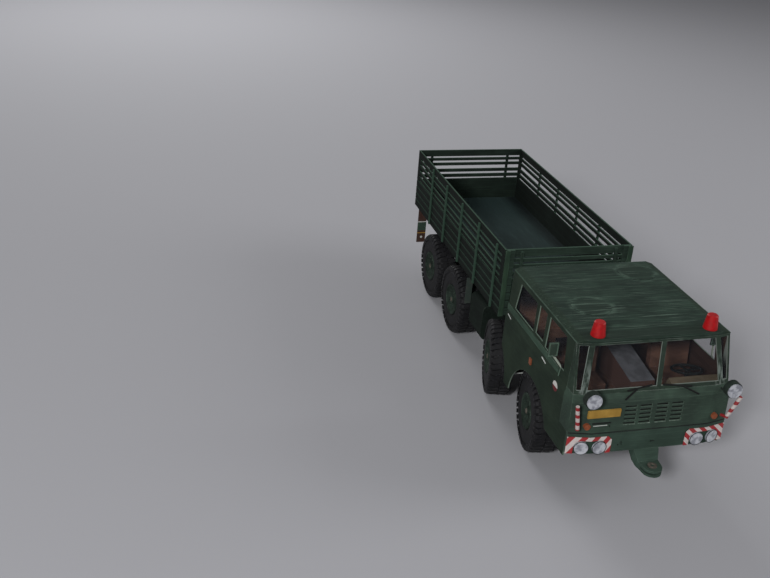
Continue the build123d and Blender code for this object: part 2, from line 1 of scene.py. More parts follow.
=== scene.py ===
import json
import math

import bmesh
import bpy
from mathutils import Matrix, Vector


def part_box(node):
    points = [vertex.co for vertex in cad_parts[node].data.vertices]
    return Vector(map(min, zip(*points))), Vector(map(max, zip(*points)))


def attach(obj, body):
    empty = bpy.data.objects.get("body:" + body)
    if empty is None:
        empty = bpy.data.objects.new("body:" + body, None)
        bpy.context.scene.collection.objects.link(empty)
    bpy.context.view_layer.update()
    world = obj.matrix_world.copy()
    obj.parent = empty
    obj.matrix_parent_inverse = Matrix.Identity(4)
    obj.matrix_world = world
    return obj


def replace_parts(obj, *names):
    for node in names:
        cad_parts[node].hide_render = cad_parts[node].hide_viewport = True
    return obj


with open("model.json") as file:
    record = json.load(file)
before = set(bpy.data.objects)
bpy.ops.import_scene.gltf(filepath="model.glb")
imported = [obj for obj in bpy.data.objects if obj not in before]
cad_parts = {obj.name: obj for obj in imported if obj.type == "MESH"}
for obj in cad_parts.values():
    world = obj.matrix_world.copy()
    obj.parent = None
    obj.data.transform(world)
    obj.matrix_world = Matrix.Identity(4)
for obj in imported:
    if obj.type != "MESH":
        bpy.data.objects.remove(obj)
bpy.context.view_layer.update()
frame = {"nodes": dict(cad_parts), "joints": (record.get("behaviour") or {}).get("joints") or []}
nodes = frame["nodes"]
mm = 0.001
print("frame loaded:", len(nodes), "nodes")


# A node's lowest and highest corners in millimetres
def corners(name):
    low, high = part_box(name)
    return low / mm, high / mm


bumperLow, bumperHigh = corners("bumper")
sideLow, sideHigh = corners("cab_side_left")
roofLow, roofHigh = corners("cab_roof")
bedLow, bedHigh = corners("bed_side_left")

# Points in the cab and in the bed, which tell their inner faces from the outer ones
cabMiddle = Vector(((sideLow.x + sideHigh.x) / 2, 0, (sideLow.z + roofHigh.z) / 2))
bedMiddle = Vector(((bedLow.x + bedHigh.x) / 2, 0, bedLow.z))


def linear(colour):
    channels = [int(colour[i:i + 2], 16) / 255 for i in (1, 3, 5)]
    return [c / 12.92 if c <= 0.04045 else ((c + 0.055) / 1.055) ** 2.4 for c in channels] + [1.0]


# Adds a node and gives back one of its outputs. Each input is a value, a hex colour or an output to link.
def addNode(tree, kind, inputs, output=0, **settings):
    node = tree.nodes.new("ShaderNode" + kind)
    for name, value in settings.items():
        setattr(node, name, value)
    for socket, value in inputs.items():
        if isinstance(value, bpy.types.NodeSocket):
            tree.links.new(value, node.inputs[socket])
        else:
            node.inputs[socket].default_value = linear(value) if isinstance(value, str) else value
    return node.outputs[output]


def newMaterial(name, colour, roughness, sockets):
    material = bpy.data.materials.new(name)
    material.use_nodes = True
    tree = material.node_tree
    shader = tree.nodes["Principled BSDF"]
    shader.inputs["Base Color"].default_value = linear(colour)
    shader.inputs["Roughness"].default_value = roughness
    for socket, value in sockets.items():
        shader.inputs[socket].default_value = value
    return material, tree, shader


# Joins a colour to the shader and, where a height is given, fine relief of a depth in millimetres
def setSurface(tree, shader, colour, height=None, strength=0.0, depth=0.0):
    tree.links.new(colour, shader.inputs["Base Color"])
    if height is not None:
        normal = addNode(tree, "Bump", {"Height": height, "Strength": strength, "Distance": depth * mm})
        tree.links.new(normal, shader.inputs["Normal"])


# Lays a tint over a colour where every mask is 1, as strongly as share. A mask is an output, or an output
# and the two of its values between which it goes softly from 0 to 1.
def layer(tree, colour, tint, share, *masks):
    factor = share
    for mask in masks:
        if isinstance(mask, tuple):
            source, low, high = mask
            mask = addNode(tree, "MapRange", {"Value": source, "From Min": low, "From Max": high},
                           interpolation_type="SMOOTHSTEP")
        factor = addNode(tree, "Math", {0: factor, 1: mask}, operation="MULTIPLY")
    return addNode(tree, "Mix", {0: factor, 6: colour, 7: tint}, 2, data_type="RGBA")


# Two masks that together are 1 between two values, with soft ends
def between(source, low, high, soft):
    return (source, low - soft, low + soft), (source, high + soft, high - soft)


# Object coordinates, one unit for each given length in millimetres
def objectPoint(tree, size):
    sizes = size if isinstance(size, tuple) else (size,) * 3
    coords = addNode(tree, "TexCoord", {}, "Object")
    return addNode(tree, "Mapping", {"Vector": coords, "Scale": [1 / (s * mm) for s in sizes]})


# A cloudy pattern, its blots about as large as size in millimetres
def clouds(tree, size, detail=4.0, rough=0.6):
    point = objectPoint(tree, size)
    return addNode(tree, "TexNoise", {"Vector": point, "Scale": 1.0, "Detail": detail, "Roughness": rough})


# How far a point lies along a direction, in millimetres. Mirrored, both sides of the truck count as left.
def along(tree, direction, mirrored=False):
    coords = addNode(tree, "TexCoord", {}, "Object")
    if mirrored:
        coords = addNode(tree, "VectorMath", {0: coords}, operation="ABSOLUTE")
    return addNode(tree, "VectorMath", {0: coords, 1: Vector(direction) / mm}, "Value",
                   operation="DOT_PRODUCT")


# How much a face looks along a direction, from -1 to 1
def facing(tree, direction):
    normal = addNode(tree, "NewGeometry", {}, "True Normal")
    return addNode(tree, "VectorMath", {0: normal, 1: Vector(direction)}, "Value", operation="DOT_PRODUCT")


# The mask of the edges that catch wear, which on the tyres carries a painted highlight, from the angle
# between the rounded and the flat normal. Wear starts at 10 degrees and is full at 31, given here as
# cosines.
def edgeWearAndHighlight(tree, radius):
    soft = addNode(tree, "Bevel", {"Radius": radius * mm}, samples=4)
    flat = addNode(tree, "NewGeometry", {}, "True Normal")
    match = addNode(tree, "VectorMath", {0: soft, 1: flat}, "Value", operation="DOT_PRODUCT")
    return match, 0.985, 0.86


# 1 on faces that look towards a point inside, by a millimetre or more
def facesInside(tree, middle):
    normal = addNode(tree, "NewGeometry", {}, "True Normal")
    coords = addNode(tree, "TexCoord", {}, "Object")
    inward = addNode(tree, "VectorMath", {0: middle * mm, 1: coords}, operation="SUBTRACT")
    match = addNode(tree, "VectorMath", {0: normal, 1: inward}, "Value", operation="DOT_PRODUCT")
    return addNode(tree, "Math", {0: match, 1: mm}, operation="GREATER_THAN")


# The cut edges of a panel face along its plane and show paler card, if need be only near the middle
def cutEdges(tree, colour, across, tint, share, within=None):
    level = addNode(tree, "Math", {0: facing(tree, across)}, operation="ABSOLUTE")
    masks = [(level, 0.4, 0.2)]
    if within:
        masks.append((along(tree, (0, 1, 0), True), within, within - 0.3))
    return layer(tree, colour, tint, share, *masks)


# Card brushed with poster paint: matt, with bristle streaks, thin patches and pale worn edges. A bristle
# leaves a streak of about 0.2 mm, which is drawn 0.4 mm wide or more so that it shows. finish is a function
# that lays what only this panel shows over the colour, and edges says how its cut edges look.
def brushedPaint(name, base, dark, light, streak=(9, 0.7, 0.7), blotch=14, streakShare=0.4,
                 wear="#6E7F72", wearShare=0.4, inside=None, finish=None, edges=None):
    material, tree, shader = newMaterial(name, base, 0.92, {"Specular IOR Level": 0.1})
    bristles = clouds(tree, streak, 5.0, 0.65)
    colour = layer(tree, dark, base, 1.0, (clouds(tree, blotch, 3.0), 0.35, 0.7))
    colour = layer(tree, colour, light, streakShare, (bristles, 0.45, 0.75))
    if wearShare:
        broken = (clouds(tree, 6), 0.38, 0.62)
        colour = layer(tree, colour, wear, wearShare, edgeWearAndHighlight(tree, 0.3), broken)
    if finish:
        colour = finish(tree, colour)
    if inside:
        colour = layer(tree, colour, inside, 1.0, facesInside(tree, cabMiddle))
    if edges:
        colour = cutEdges(tree, colour, *edges)
    setSurface(tree, shader, colour, bristles, 0.3, 0.1)
    return material


# Plain card or flat paint with only a little grain. Card fibres are some hundredths of a millimetre thick,
# and their relief is drawn 0.5 mm coarse so that it shows.
def cardPaint(name, base, light, size=5.0):
    material, tree, shader = newMaterial(name, base, 0.85, {"Specular IOR Level": 0.2})
    colour = layer(tree, base, light, 1.0, (clouds(tree, size, 6.0), 0.35, 0.75))
    setSurface(tree, shader, colour, clouds(tree, 0.5, 3.0), 0.25, 0.05)
    return material


# The mask of red bands, one red and one white to a period. 100 periods more keep the count above zero.
def redBands(tree, direction, period, shift, share, soft=0.02):
    place = addNode(tree, "Math", {0: along(tree, direction), 1: 1 / period, 2: 100 + shift},
                    operation="MULTIPLY_ADD")
    part = addNode(tree, "Math", {0: place, 1: 1.0}, operation="MODULO")
    return part, share + soft, share - soft


# Printed red and white stripes, grimy from handling. Each side has its own direction, period and shift.
def stripePaint(name, red, white, right, left, share=0.5):
    material, tree, shader = newMaterial(name, white, 0.6, {"Specular IOR Level": 0.3})
    y = along(tree, (0, 1, 0))
    colour = layer(tree, white, red, 1.0, (y, 1, -1), redBands(tree, *right, share))
    colour = layer(tree, colour, red, 1.0, (y, -1, 1), redBands(tree, *left, share))
    colour = layer(tree, colour, "#5A4A46", 0.3, (clouds(tree, 2.2, 5.0), 0.4, 0.8))
    setSurface(tree, shader, colour)
    return material


# Laminated card discs in dark grey paint: uneven, with pale specks on the lugs' edges as a painted
# highlight, drawn 0.8 mm coarse so that they show
def tyrePaint(name, base, light):
    material, tree, shader = newMaterial(name, base, 0.7, {"Specular IOR Level": 0.22})
    specks = clouds(tree, 0.8, 3.0)
    colour = layer(tree, base, light, 1.0, (clouds(tree, 4.5, 6.0, 0.7), 0.4, 0.75))
    # Pale specks on the lugs' edges: a painted highlight
    colour = layer(tree, colour, "#77787E", 0.55, edgeWearAndHighlight(tree, 0.25), (specks, 0.56, 0.68))
    setSurface(tree, shader, colour, specks, 0.5, 0.15)
    return material


# Clear film: nearly invisible, with a faint reflection
def clearFilm(name):
    return newMaterial(name, "#30343A", 0.05, {"Alpha": 0.08, "Specular IOR Level": 0.5})[0]


# White plastic lens: shiny, grey where it mirrors the room, with faint pressed facets
def pressedLens(name):
    material, tree, shader = newMaterial(name, "#7C7E85", 0.2, {"Coat Weight": 0.3, "Coat Roughness": 0.1})
    facets = addNode(tree, "TexVoronoi", {"Vector": objectPoint(tree, 1.1), "Scale": 1.0})
    colour = layer(tree, "#6E7078", "#A3A5AB", 1.0, (clouds(tree, 3, 2.0), 0.35, 0.65))
    setSurface(tree, shader, colour, facets, 0.2, 0.1)
    return material


# Varnish or lamp paint: a soft shine over a slightly uneven coat
def glossPaint(name, base, dark, roughness):
    material, tree, shader = newMaterial(name, base, roughness, {"Specular IOR Level": 0.25})
    grain = clouds(tree, 1.6, 3.0)
    colour = layer(tree, dark, base, 1.0, (grain, 0.3, 0.7))
    setSurface(tree, shader, colour, grain, 0.2, 0.08)
    return material


# Two flat colours that change at a place along a direction, both a little soiled
def splitPaint(name, first, second, direction, place, soft=0.1):
    material, tree, shader = newMaterial(name, first, 0.85, {"Specular IOR Level": 0.2})
    colour = layer(tree, first, second, 1.0, (along(tree, direction), place - soft, place + soft))
    colour = layer(tree, colour, "#4A463E", 0.25, (clouds(tree, 3, 5.0), 0.4, 0.75))
    setSurface(tree, shader, colour)
    return material


# Bare brown card inside the cab: dull and fibrous, nearly black towards the roof, where no light reaches
def interiorCard(name, brown, light, dark, start, end):
    material, tree, shader = newMaterial(name, brown, 0.95, {"Specular IOR Level": 0.08})
    colour = layer(tree, brown, light, 1.0, (clouds(tree, (7, 7, 3)), 0.35, 0.7))
    colour = layer(tree, colour, dark, 1.0, (along(tree, (0, 0, 1)), start, end))
    setSurface(tree, shader, colour)
    return material


# Cab floor: brown card on top, black paint under it and on the liners behind the front wheels
def floorCard(name, brown, light, under):
    material, tree, shader = newMaterial(name, brown, 0.95, {"Specular IOR Level": 0.08})
    colour = layer(tree, brown, light, 1.0, (clouds(tree, (7, 7, 3)), 0.35, 0.7))
    colour = layer(tree, under, colour, 1.0, (facing(tree, (0, 0, 1)), 0.3, 0.6))
    setSurface(tree, shader, colour)
    return material


# Grey painted top of the engine cover, brown card on its sides and behind
def coverPaint(name, grey, light, brown, fromX):
    material, tree, shader = newMaterial(name, grey, 0.9, {"Specular IOR Level": 0.1})
    colour = layer(tree, grey, light, 1.0, (clouds(tree, 4, 5.0), 0.35, 0.7))
    ahead = (along(tree, (1, 0, 0)), fromX - 1, fromX + 1)
    colour = layer(tree, brown, colour, 1.0, (facing(tree, (0, 0, 1)), 0.3, 0.5), ahead)
    setSurface(tree, shader, colour)
    return material


# Whitish glue marks low on the windscreen's corner pillars: how far out they lie, and the heights between
# which they fade in. A tint here and below is a colour and how strongly it is laid on.
glue = {"from": 30.8, "to": 35.6, "soft": 0.6, "fade": (76, 62), "blot": (1.6, 1.6, 7),
        "tint": ("#7F8884", 0.5)}


def windscreenFinish(tree, colour):
    pillar = between(along(tree, (0, 1, 0), True), glue["from"], glue["to"], glue["soft"])
    low = (along(tree, (0, 0, 1)), *glue["fade"])
    smear = (clouds(tree, glue["blot"]), 0.42, 0.62)
    return layer(tree, colour, *glue["tint"], *pillar, low, smear)


# Roof: dark paint in and lighter strokes round two hatches, fine scratches, and darker bands along its front
# and sides. Rings and bands are measured from the hatch's rim and from the roof's edge.
hatches = {"centres": ((86.9, -17.2), (53.8, 22.6)), "radius": 9.4, "height": 0.22}
roofMarks = {"ragged": 6.0, "fade": (3.0, -1.0), "fadeTint": ("#212D26", 0.45), "ring": (1.8, 4.6),
             "ringSoft": 1.4, "ringTint": ("#586C5F", 0.32), "scratch": (0.5, 30, 0.5),
             "scratchTint": ("#6C8073", 0.4), "front": (13, 5), "frontTint": ("#1C2620", 0.65),
             "side": (5, 3), "sideTint": ("#1F2A20", 0.5)}


def roofFinish(tree, colour):
    coords = addNode(tree, "TexCoord", {}, "Object")
    ragged = addNode(tree, "Math", {0: clouds(tree, 13), 1: roofMarks["ragged"]}, operation="MULTIPLY")
    strokes = (clouds(tree, (1.6, 9, 1.6), 5.0), 0.42, 0.62)
    outer, inner = (hatches["radius"] + offset for offset in roofMarks["fade"])
    ringStart, ringEnd = (hatches["radius"] + offset for offset in roofMarks["ring"])
    for x, y in hatches["centres"]:
        centre = Vector((x, y, roofHigh.z)) * mm
        gap = addNode(tree, "VectorMath", {0: coords, 1: centre}, "Value", operation="DISTANCE")
        away = addNode(tree, "Math", {0: gap, 1: 1 / mm, 2: ragged}, operation="MULTIPLY_ADD")
        ring = between(away, ringStart, ringEnd, roofMarks["ringSoft"])
        colour = layer(tree, colour, *roofMarks["fadeTint"], (away, outer, inner))
        colour = layer(tree, colour, *roofMarks["ringTint"], *ring, strokes)
    scratches = (clouds(tree, roofMarks["scratch"]), 0.58, 0.66)
    colour = layer(tree, colour, *roofMarks["scratchTint"], scratches)
    atFront = (along(tree, (1, 0, 0)), *(roofHigh.x - offset for offset in roofMarks["front"]))
    colour = layer(tree, colour, *roofMarks["frontTint"], atFront)
    atSide = (along(tree, (0, 1, 0), True), *(roofHigh.y - offset for offset in roofMarks["side"]))
    return layer(tree, colour, *roofMarks["sideTint"], atSide)


# Bed walls: dark joints between the planks, faint on the inner faces, and a painted highlight on the planks'
# upper edges, the slat tops and the stakes
planks = {"pitch": 4.4, "joint": 0.45, "low": bedLow.z, "high": 62.4, "lastEdge": 61.0, "inside": 0.15,
          "stake": 0.82, "jointTint": ("#060807", 0.85), "edgeTint": ("#31443A", 0.35),
          "topTint": ("#35493D", 0.8), "stakeTint": ("#2F4438", 0.75)}


def plankJoints(tree, colour):
    height = along(tree, (0, 0, 1))
    place = addNode(tree, "Math", {0: height, 1: 1 / planks["pitch"], 2: -planks["low"] / planks["pitch"]},
                    operation="MULTIPLY_ADD")
    part = addNode(tree, "Math", {0: place, 1: 1.0}, operation="MODULO")
    joint = planks["joint"] / planks["pitch"]
    inner = facesInside(tree, bedMiddle)
    outside = addNode(tree, "MapRange", {"Value": inner, "To Min": 1.0, "To Max": planks["inside"]})
    below = (height, planks["high"] + 0.1, planks["high"])
    colour = layer(tree, colour, *planks["jointTint"], (part, joint + 0.03, joint), below, outside)
    # Lighter upper edge of each plank: a painted highlight
    below = (height, planks["high"], planks["lastEdge"])
    colour = layer(tree, colour, *planks["edgeTint"], *between(part, 0.84, 1.0, 0.04), below, outside)
    # Faces that look up are lighter: a painted highlight
    return layer(tree, colour, *planks["topTint"], (facing(tree, (0, 0, 1)), 0.5, 0.8))


def bedSideFinish(tree, colour):
    limit = bedHigh.y - planks["stake"]
    stakes = (along(tree, (0, 1, 0), True), limit, limit + 0.1)
    # Lighter stakes: a painted highlight
    return layer(tree, plankJoints(tree, colour), *planks["stakeTint"], stakes)


# Bed floor: paler and bluish where it is worn, painted lighter towards the rear as painted light against the
# shade there, and dark along the walls
deck = {"wall": (33, 22), "worn": (26, 16, 10), "wornTint": ("#263332", 0.3), "stroke": (22, 3.5, 3.5),
        "strokeTint": ("#334342", 0.4), "rearTint": ("#334342", 0.65)}


def deckFinish(tree, colour):
    side = (along(tree, (0, 1, 0), True), *deck["wall"])
    worn = (clouds(tree, deck["worn"]), 0.2, 0.6)
    strokes = (clouds(tree, deck["stroke"], 6.0, 0.7), 0.5, 0.68)
    rear = (along(tree, (1, 0, 0)), bedHigh.x, bedLow.x)
    colour = layer(tree, colour, *deck["wornTint"], side, worn)
    colour = layer(tree, colour, *deck["strokeTint"], side, strokes)
    # Lighter towards the rear: painted light against the shade there
    return layer(tree, colour, *deck["rearTint"], side, rear)


# Past this distance from the middle the front's cut edges are its own sides, which stay green
frontBorder = bumperHigh.y - 1.6
poleBands = ((0, 0, 1), 3.9, 0.31)
paints = {
    # Green poster paint on card: matt, streaked the way the brush went, paler where an edge is cut or worn
    "side": brushedPaint("oliveSidePaint", "#232D24", "#1C251E", "#2B372E", streak=(11, 0.8, 0.9),
                         inside="#33241F", edges=((0, 1, 0), "#66766A", 0.8)),
    # Its inner face is painted very dark: painted shade inside the cab
    "rearWall": brushedPaint("rearWallPaint", "#1F2820", "#19211A", "#28332B", streak=(0.9, 8, 0.9),
                             inside="#1B1517"),
    # The roof's inner face is painted nearly black: painted shade inside the cab
    "roof": brushedPaint("roofPaint", "#233029", "#1B2621", "#354A3E", streak=(0.9, 22, 0.9),
                         streakShare=0.6, wear="#7C8D81", wearShare=0.7, inside="#0F0E0E",
                         finish=roofFinish),
    "hatch": brushedPaint("hatchPaint", "#222F28", "#1B2520", "#34483D", streak=(0.9, 22, 0.9),
                          streakShare=0.6, wear="#5C6F63", wearShare=0.3, finish=roofFinish),
    # The front's inner face is painted very dark: painted shade inside the cab
    "front": brushedPaint("frontPaint", "#303E35", "#27312B", "#3E4F44", streak=(0.8, 9, 0.8),
                          inside="#171312", edges=((1, 0, 0), "#4A5A4F", 0.8, frontBorder)),
    # The frame's inner faces are painted very dark: painted shade inside the cab
    "windscreen": brushedPaint("windscreenPaint", "#263129", "#1F2722", "#3A4A40", streak=(1, 5, 1),
                               wear="#8E968F", wearShare=0.6, inside="#171515", finish=windscreenFinish,
                               edges=((1, 0, 0), "#858E87", 0.6, frontBorder)),
    "bumper": brushedPaint("bumperPaint", "#303F37", "#28352E", "#3C4E44", streak=(0.8, 12, 0.8)),
    # Bed sides: painted much darker than the cab, as painted shade for the light falling off along the bed
    "bedSide": brushedPaint("bedSidePaint", "#111714", "#0C110E", "#19231E", streak=(30, 0.5, 0.4),
                            wear="#33463B", wearShare=0.5, finish=bedSideFinish),
    "bedEnd": brushedPaint("bedEndPaint", "#18211C", "#111814", "#2A392F", streak=(0.6, 24, 0.5),
                           wear="#3A4D41", wearShare=0.5, finish=plankJoints),
    "headboard": brushedPaint("headboardPaint", "#222E27", "#1A241E", "#36483D", streak=(0.6, 24, 0.5),
                              wear="#4C6054", wearShare=0.6, finish=plankJoints),
    "bedFloor": brushedPaint("bedFloorPaint", "#192121", "#131A1A", "#253131", streak=(14, 1.2, 1),
                             blotch=30, wearShare=0, finish=deckFinish),
    "tank": brushedPaint("tankPaint", "#131A16", "#0E1411", "#212D26", streak=(7, 0.8, 0.9), wearShare=0.3),
    "hub": brushedPaint("hubPaint", "#252F29", "#1A221D", "#35433A", streak=(2, 2, 2), blotch=6,
                        wearShare=0.3),
    "belt": brushedPaint("beltPaint", "#324338", "#29372E", "#485C4F", streak=(12, 0.8, 0.8),
                         wear="#7D8C81"),
    "post": brushedPaint("postPaint", "#263629", "#1F2D24", "#38503F", streak=(0.8, 0.8, 9),
                         wear="#66786B"),
    "mirrorEdge": brushedPaint("mirrorEdgePaint", "#4A5C50", "#3D4E43", "#6B7C70", streak=(2, 2, 2)),
    # Black poster paint underneath, with hardly any wear
    "chassis": brushedPaint("chassisPaint", "#101312", "#0B0D0C", "#1B201D", wearShare=0.2),
    # Small green parts, dabbed rather than brushed: even and dull
    # The plate behind the headlamps is painted shade
    "recess": cardPaint("recessPaint", "#1B2A22", "#26382E"),
    "spotShell": cardPaint("spotShellPaint", "#161D19", "#232E28"),
    "lip": cardPaint("grilleLipPaint", "#2A3830", "#404E45", 1.6),
    "wornLip": cardPaint("wornGreenEdge", "#3A493F", "#7A857C", 1.6),
    # Laminated card tyres, clear film windows and moulded plastic lenses
    "tyre": tyrePaint("greyTyrePaint", "#0B0B0D", "#17171A"),
    "film": clearFilm("clearFilm"),
    "lens": pressedLens("pressedLens"),
    # Bare card: brown, beige and yellow, whitish where it is cut, and dull throughout
    "cover": coverPaint("engineCoverPaint", "#47484B", "#595A5E", "#43302A", 88.0),
    "beigeCard": cardPaint("beigeCard", "#4A4133", "#5C5242"),
    "cabFloor": floorCard("cabFloorCard", "#46322A", "#5A4236", "#0D0C0C"),
    "interior": interiorCard("interiorCard", "#46322A", "#5A4236", "#121013", 57.0, 67.0),
    "plate": cardPaint("yellowCard", "#7F6229", "#947535"),
    "paleEdge": cardPaint("cutCardEdge", "#8E918E", "#B0B2AE", 2.0),
    # Painted wire, nearly black, and a brown paint with light spots: rubbed metal on the hitch's collar and
    # a painted highlight on the hub caps
    "black": cardPaint("blackWirePaint", "#0A0B0B", "#151716"),
    "boss": cardPaint("wornMetalPaint", "#38342E", "#57524A", 1.2),
    # Lamps in varnish, with a soft shine
    "redGloss": glossPaint("redVarnish", "#960A0E", "#82080B", 0.5),
    "amber": glossPaint("amberPaint", "#7E4228", "#653722", 0.45),
    "redLamp": glossPaint("darkRedPaint", "#4E1512", "#3B0F0C", 0.45),
    # Printed paper glued on: flat colours with sharp borders
    "poles": stripePaint("poleBands", "#7C1B1F", "#A59C99", poleBands, poleBands, 0.45),
    "hazard": stripePaint("hazardStripes", "#8A2226", "#B2A9A6", ((0, -0.82, 0.57), 4.8, 0.464),
                          ((0, 0.68, 0.73), 3.67, 0.953)),
    "flaps": splitPaint("flapCard", "#33201A", "#27302C", (1, 0, 0), -80, 1.0),
    # Pale below the split, on the mirrors' arms: a painted highlight on the wire
    "mirror": splitPaint("mirrorPaint", "#7C8379", "#26332B", (0, 0, 1), 65.6),
    "mark": splitPaint("markPaint", "#541F22", "#B1AFAB", (0, 0, 1), 51.8),
}
nodePaint = {
    "cab_side_left": "side", "cab_side_right": "side", "cab_roof": "roof", "cab_front": "front",
    "windscreen_frame": "windscreen", "cab_rear_wall": "rearWall", "cab_floor": "cabFloor",
    "glazing": "film", "front_seats": "interior", "rear_bench": "interior", "engine_cover": "cover",
    "dashboard": "beigeCard", "steering_wheel": "black", "bumper": "bumper", "hazard_panels": "hazard",
    "lamp_lenses": "lens", "spot_lamps": "spotShell", "beacons": "redGloss", "clearance_poles": "poles",
    "mirrors": "mirror", "wipers": "black", "number_plate": "plate", "turn_lamps": "amber",
    "tow_hitch": "bumper", "bed_floor": "bedFloor", "bed_side_left": "bedSide",
    "bed_side_right": "bedSide", "headboard": "headboard", "tailgate": "bedEnd", "side_tanks": "tank",
    "mud_flaps": "flaps", "tail_lamps": "redLamp",
}
for name, obj in nodes.items():
    kind = nodePaint.get(name) or {"tyre": "tyre", "hub": "hub"}.get(name.split("_")[0], "chassis")
    obj.data.materials.clear()
    obj.data.materials.append(paints[kind])
print("materials set:", len(paints))


# A mesh made by bmesh becomes an object at the origin that rides on a body
def newPiece(name, mesh, paint, body="root"):
    bmesh.ops.recalc_face_normals(mesh, faces=mesh.faces)
    data = bpy.data.meshes.new(name)
    mesh.to_mesh(data)
    mesh.free()
    obj = bpy.data.objects.new(name, data)
    bpy.context.scene.collection.objects.link(obj)
    obj.data.materials.append(paints[paint])
    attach(obj, body)
    return obj


def addBlock(mesh, low, high, edge=0.0):
    size = [(b - a) * mm for a, b in zip(low, high)]
    middle = [(a + b) / 2 * mm for a, b in zip(low, high)]
    place = Matrix.Translation(middle) @ Matrix.Diagonal(size + [1])
    made = bmesh.ops.create_cube(mesh, size=1.0, matrix=place)["verts"]
    if edge:
        edges = list(dict.fromkeys(e for v in made for e in v.link_edges))
        bmesh.ops.bevel(mesh, geom=edges, offset=edge * mm, segments=2, profile=0.5, affect="EDGES",
                        material=-1)


def addBar(mesh, start, end, radius, sides=12, tip=None):
    a, b = Vector(start) * mm, Vector(end) * mm
    turn = (b - a).to_track_quat("Z", "Y").to_matrix().to_4x4()
    bmesh.ops.create_cone(mesh, cap_ends=True, segments=sides, radius1=radius * mm,
                          radius2=(radius if tip is None else tip) * mm, depth=(b - a).length,
                          matrix=Matrix.Translation((a + b) / 2) @ turn)


# A bar on the left side and the same on the right
def addBars(mesh, start, end, radius, sides):
    for side in (1, -1):
        addBar(mesh, (start[0], side * start[1], start[2]), (end[0], side * end[1], end[2]), radius, sides)


# A thin plate from its four corners, thickened on the side that its corners turn to
def addPlate(mesh, points, thick):
    face = mesh.faces.new([mesh.verts.new(Vector(point) * mm) for point in points])
    face.normal_update()
    push = face.normal * thick * mm
    made = bmesh.ops.extrude_face_region(mesh, geom=[face])["geom"]
    bmesh.ops.translate(mesh, verts=[v for v in made if isinstance(v, bmesh.types.BMVert)], vec=push)


# A thin plate on the left side and the same on the right
def addPlates(mesh, points, thick):
    addPlate(mesh, points, thick)
    addPlate(mesh, [(x, -y, z) for x, y, z in reversed(points)], thick)


# A ring round an axis: a small rectangle spun through a full turn
def addRing(mesh, centre, axis, inner, outer, thick, steps=32):
    axis = Vector(axis).normalized()
    side = axis.orthogonal().normalized()
    section = ((inner, 0), (outer, 0), (outer, thick), (inner, thick))
    verts = [mesh.verts.new((centre + side * r + axis * h) * mm) for r, h in section]
    edges = [mesh.edges.new((verts[i], verts[(i + 1) % 4])) for i in range(4)]
    bmesh.ops.spin(mesh, geom=verts + edges, cent=centre * mm, axis=axis, angle=math.tau, steps=steps,
                   use_merge=True)


# The front's own shape: how its corners slant back, and how far back it stands above each height
front = {"cornerWidth": 10.4, "cornerBack": 2.4, "rows": ((39.2, -0.2), (54.2, -1.0), (57.4, -3.6))}


# A point on the cab's front face or the bumper, standing proud of it
def frontPoint(y, z, proud=0.0):
    back = 0.0
    for (z0, b0), (z1, b1) in zip(front["rows"][:-1], front["rows"][1:]):
        if z > z0:
            back = b0 + (b1 - b0) * min(1.0, (z - z0) / (z1 - z0))
    over = max(0.0, abs(y) - (bumperHigh.y - front["cornerWidth"]))
    return (bumperHigh.x + back - over * front["cornerBack"] / front["cornerWidth"] + proud, y, z)


def addFrontPlate(mesh, y0, y1, z0, z1, thick):
    bend = bumperHigh.y - front["cornerWidth"]
    stops = [y0] + [y for y in (-bend, bend) if y0 < y < y1] + [y1]
    for a, b in zip(stops[:-1], stops[1:]):
        addPlate(mesh, [frontPoint(y, z) for y, z in ((a, z0), (b, z0), (b, z1), (a, z1))], thick)


# Grille: a black sheet behind the slots and a lip under each, the lowest row worn pale
grille = {"columns": (-11.1, -3.8, 4.2, 11.7), "rows": 5, "top": 51.5, "pitch": 2.07, "width": 5.8,
          "height": 1.1, "lip": 0.3, "lipThick": 0.12, "sheetHalf": 17.0, "sheetThick": 0.3,
          "above": 1.0, "margin": 2.0, "panel": 0.6}
mesh = bmesh.new()
bottom = grille["top"] - grille["pitch"] * (grille["rows"] - 1)
sheetX = frontPoint(0, grille["top"] + grille["above"])[0] - grille["panel"]
addBlock(mesh, (sheetX - grille["sheetThick"], -grille["sheetHalf"], bottom - grille["margin"]),
         (sheetX, grille["sheetHalf"], grille["top"] + grille["margin"]))
newPiece("grilleBacking", mesh, "black")
lipRows = [grille["top"] - grille["pitch"] * row - grille["height"] / 2 for row in range(grille["rows"])]
for name, rows, paint in (("grilleLips", lipRows[:-1], "lip"), ("grilleWornLips", lipRows[-1:], "wornLip")):
    mesh = bmesh.new()
    for y in grille["columns"]:
        y0, y1 = y - grille["width"] / 2, y + grille["width"] / 2
        for z in rows:
            addFrontPlate(mesh, y0, y1, z - grille["lip"], z, grille["lipThick"])
    newPiece(name, mesh, paint)

# Front panel and bumper marks: a step slot under the plate, the joint over the bumper and small holes
marks = {"slot": (-29.0, -20.0, 43.9, 44.7), "dash": (1.6, 3.2, 32.5, 32.9),
         "line": (-28.4, -21.7, 42.9, 43.3), "joint": (39.0, 39.5), "thick": 0.06, "holeRadius": 0.45,
         "holes": ((-14.9, 32.4), (-13.5, 33.7), (-13.3, 32.6), (1.2, 32.8), (-20.6, 42.6))}
mesh = bmesh.new()
addFrontPlate(mesh, *marks["slot"], marks["thick"])
addFrontPlate(mesh, *marks["dash"], marks["thick"])
addFrontPlate(mesh, bumperLow.y, bumperHigh.y, *marks["joint"], marks["thick"])
for y, z in marks["holes"]:
    addBar(mesh, frontPoint(y, z), frontPoint(y, z, marks["thick"]), marks["holeRadius"])
newPiece("frontSlots", mesh, "black")
mesh = bmesh.new()
addFrontPlate(mesh, *marks["line"], marks["thick"])
newPiece("stepEdge", mesh, "paleEdge")
